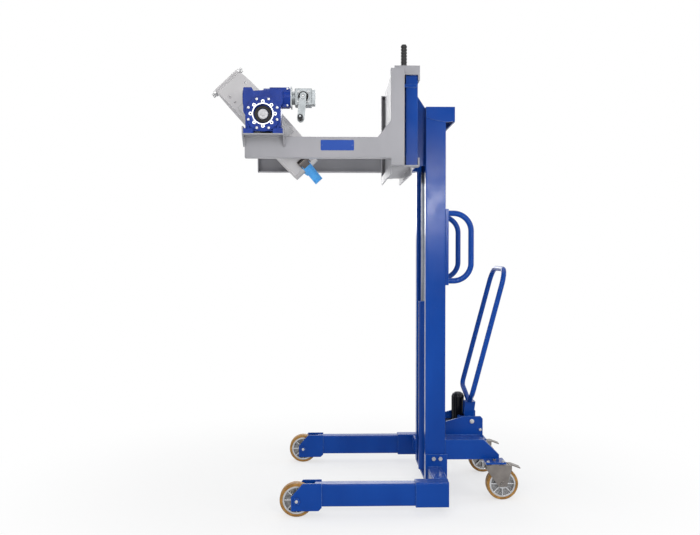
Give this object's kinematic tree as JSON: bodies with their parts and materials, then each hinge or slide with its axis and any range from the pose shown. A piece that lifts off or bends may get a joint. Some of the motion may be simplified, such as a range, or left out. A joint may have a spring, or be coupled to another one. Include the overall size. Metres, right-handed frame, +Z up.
{
  "type": "drum tipper",
  "caption": "Straddle stacker with a pumped mast whose forward arms carry a strapped drum cradle, turned by a cranked worm gearbox to lift, tip and pour a drum.",
  "frame": {"origin": "on the floor, in the middle plane, at the centre of the footprint", "axes": "+Z up, +X from the drum towards the pump handle, the crank on the -Y side"},
  "size_m": [1.4815, 1.064, 2.1293],
  "materials": {
    "blue": "gloss machine enamel",
    "grey": "satin light grey enamel",
    "gearblue": "painted die casting, semi gloss",
    "cast_alu": "bead blasted casting",
    "steel": "machined and zinc plated",
    "zinc": "zinc plated pressing",
    "rod_chrome": "ground and hard chromed",
    "black_paint": "black enamel",
    "black_plastic": "moulded grip",
    "amber_tread": "cast polyurethane tread",
    "wheel_core": "die cast, satin",
    "webbing": "woven polyester webbing",
    "chain_steel": "oiled leaf chain"
  },
  "bodies": {
    "chassis": {"mast_column_near": "blue", "mast_column_far": "blue", "mast_head": "blue", "outrigger_near": "blue", "outrigger_far": "blue", "leg_near": "blue", "leg_far": "blue", "front_axles": "steel", "rear_chassis": "blue", "pump_body": "black_paint", "lift_cylinder": "blue", "grab_handle_near": "blue", "grab_handle_far": "blue", "frame_bolts": "steel", "chain_rear": "chain_steel"},
    "lift_rod": {"piston_rod": "rod_chrome"},
    "pulley": {"chain_pulley": "steel"},
    "carriage": {"carriage_frame": "blue", "arm_near": "grey", "arm_far": "grey", "hook_frame": "grey", "gearbox_housing": "gearblue", "gearbox_plinth": "grey", "bevel_gearbox": "cast_alu", "far_bearing": "grey", "chain_front": "chain_steel"},
    "cradle": {"pivot_shaft_near": "steel", "pivot_shaft_far": "steel", "saddle_plate_near": "grey", "saddle_plate_far": "grey", "rear_rail": "grey", "rear_studs": "steel", "strap": "webbing", "strap_buckle": "zinc"},
    "buckle": {"buckle_lever": "zinc"},
    "crank_body": {"crank": "cast_alu"},
    "grip": {"crank_grip": "black_plastic"},
    "lock_near": {"lock_pin_near": "black_plastic"},
    "lock_far": {"lock_pin_far": "black_plastic"},
    "pump_handle_body": {"pump_lever": "blue", "pump_handle": "blue"},
    "plunger": {"pump_plunger": "steel"},
    "release": {"release_knob": "black_plastic"},
    "roller_near_upper_body": {"roller_near_upper": "steel"},
    "roller_near_lower_body": {"roller_near_lower": "steel"},
    "front_wheel_near": {"front_core_near": "wheel_core", "front_tyre_near": "amber_tread"},
    "castor_near": {"castor_fork_near": "zinc"},
    "castor_wheel_near": {"castor_core_near": "wheel_core", "castor_tyre_near": "amber_tread"},
    "brake_near": {"brake_pedal_near": "zinc"},
    "roller_far_upper_body": {"roller_far_upper": "steel"},
    "roller_far_lower_body": {"roller_far_lower": "steel"},
    "front_wheel_far": {"front_core_far": "wheel_core", "front_tyre_far": "amber_tread"},
    "castor_far": {"castor_fork_far": "zinc"},
    "castor_wheel_far": {"castor_core_far": "wheel_core", "castor_tyre_far": "amber_tread"},
    "brake_far": {"brake_pedal_far": "zinc"}
  },
  "joints": [
    {"name": "lift", "type": "slide", "parent": "chassis", "child": "lift_rod", "axis": [0, 0, 1], "range_m": [-0.632, 0], "deforming": ["chain_rear"]},
    {"name": "carriage_lift", "type": "slide", "parent": "lift_rod", "child": "carriage", "axis": [0, 0, 1], "range_m": [-0.632, 0], "deforming": ["chain_front"]},
    {"name": "pulley_spin", "type": "hinge", "parent": "lift_rod", "child": "pulley", "pos_m": [0.31, 0, 1.7], "axis": [0, 1, 0], "range_deg": [-720, 5]},
    {"name": "roller_near_upper_spin", "type": "hinge", "parent": "carriage", "child": "roller_near_upper_body", "pos_m": [0.3345, -0.201, 1.789], "axis": [0, 1, 0], "range_deg": [-5, 1862]},
    {"name": "roller_near_lower_spin", "type": "hinge", "parent": "carriage", "child": "roller_near_lower_body", "pos_m": [0.3345, -0.201, 1.639], "axis": [0, 1, 0], "range_deg": [-1862, 5]},
    {"name": "roller_far_upper_spin", "type": "hinge", "parent": "carriage", "child": "roller_far_upper_body", "pos_m": [0.3345, 0.201, 1.789], "axis": [0, 1, 0], "range_deg": [-5, 1862]},
    {"name": "roller_far_lower_spin", "type": "hinge", "parent": "carriage", "child": "roller_far_lower_body", "pos_m": [0.3345, 0.201, 1.639], "axis": [0, 1, 0], "range_deg": [-1862, 5]},
    {"name": "drum_tilt", "type": "hinge", "parent": "carriage", "child": "cradle", "pos_m": [-0.465, 0, 1.786], "axis": [0, -1, 0], "range_deg": [-133, 47]},
    {"name": "crank_turn", "type": "hinge", "parent": "carriage", "child": "crank_body", "pos_m": [-0.286, -0.44, 1.866], "axis": [0, -1, 0], "range_deg": [-4000, 1420]},
    {"name": "grip_spin", "type": "hinge", "parent": "crank_body", "child": "grip", "pos_m": [-0.29677, -0.49, 1.76356], "axis": [0, -1, 0], "continuous": true},
    {"name": "buckle_open", "type": "hinge", "parent": "cradle", "child": "buckle", "pos_m": [-0.29525, -0.18357, 1.60396], "axis": [-0.7314, 0, -0.682], "range_deg": [0, 70]},
    {"name": "lock_near_pull", "type": "slide", "parent": "carriage", "child": "lock_near", "axis": [0, 0, 1], "range_m": [0, 0.07]},
    {"name": "lock_far_pull", "type": "slide", "parent": "carriage", "child": "lock_far", "axis": [0, 0, 1], "range_m": [0, 0.07]},
    {"name": "pump_stroke", "type": "hinge", "parent": "chassis", "child": "pump_handle_body", "pos_m": [0.529, 0, 0.34], "axis": [0, 1, 0], "range_deg": [0, 40], "stiffness_Nm_per_rad": 10, "springref_deg": -45.84},
    {"name": "plunger_stroke", "type": "slide", "parent": "chassis", "child": "plunger", "axis": [0, 0, 1], "range_m": [0, 0.0255]},
    {"name": "release_turn", "type": "hinge", "parent": "chassis", "child": "release", "pos_m": [0.444, -0.05, 0.294], "axis": [0, -1, 0], "range_deg": [0, 90]},
    {"name": "front_wheel_near_spin", "type": "hinge", "parent": "chassis", "child": "front_wheel_near", "pos_m": [-0.315, -0.487, 0.075], "axis": [0, 1, 0], "continuous": true},
    {"name": "castor_near_swivel", "type": "hinge", "parent": "chassis", "child": "castor_near", "pos_m": [0.612, -0.25, 0.17], "axis": [0, 0, 1], "continuous": true},
    {"name": "castor_near_spin", "type": "hinge", "parent": "castor_near", "child": "castor_wheel_near", "pos_m": [0.648, -0.25, 0.075], "axis": [0, 1, 0], "continuous": true},
    {"name": "brake_near_press", "type": "hinge", "parent": "castor_near", "child": "brake_near", "pos_m": [0.682, -0.25, 0.1577], "axis": [0, 1, 0], "range_deg": [0, 10]},
    {"name": "front_wheel_far_spin", "type": "hinge", "parent": "chassis", "child": "front_wheel_far", "pos_m": [-0.315, 0.487, 0.075], "axis": [0, 1, 0], "continuous": true},
    {"name": "castor_far_swivel", "type": "hinge", "parent": "chassis", "child": "castor_far", "pos_m": [0.612, 0.25, 0.17], "axis": [0, 0, 1], "continuous": true},
    {"name": "castor_far_spin", "type": "hinge", "parent": "castor_far", "child": "castor_wheel_far", "pos_m": [0.648, 0.25, 0.075], "axis": [0, 1, 0], "continuous": true},
    {"name": "brake_far_press", "type": "hinge", "parent": "castor_far", "child": "brake_far", "pos_m": [0.682, 0.25, 0.1577], "axis": [0, 1, 0], "range_deg": [0, 10]}
  ],
  "couplings": [
    {"joint": "carriage_lift", "follows": "lift", "ratio": 1},
    {"joint": "pulley_spin", "follows": "lift", "rad_per_m": 19.763},
    {"joint": "roller_near_upper_spin", "follows": "lift", "rad_per_m": -51.282},
    {"joint": "roller_near_lower_spin", "follows": "lift", "rad_per_m": 51.282},
    {"joint": "roller_far_upper_spin", "follows": "lift", "rad_per_m": -51.282},
    {"joint": "roller_far_lower_spin", "follows": "lift", "rad_per_m": 51.282},
    {"joint": "crank_turn", "follows": "drum_tilt", "ratio": 30},
    {"joint": "plunger_stroke", "follows": "pump_stroke", "m_per_rad": 0.036}
  ]
}
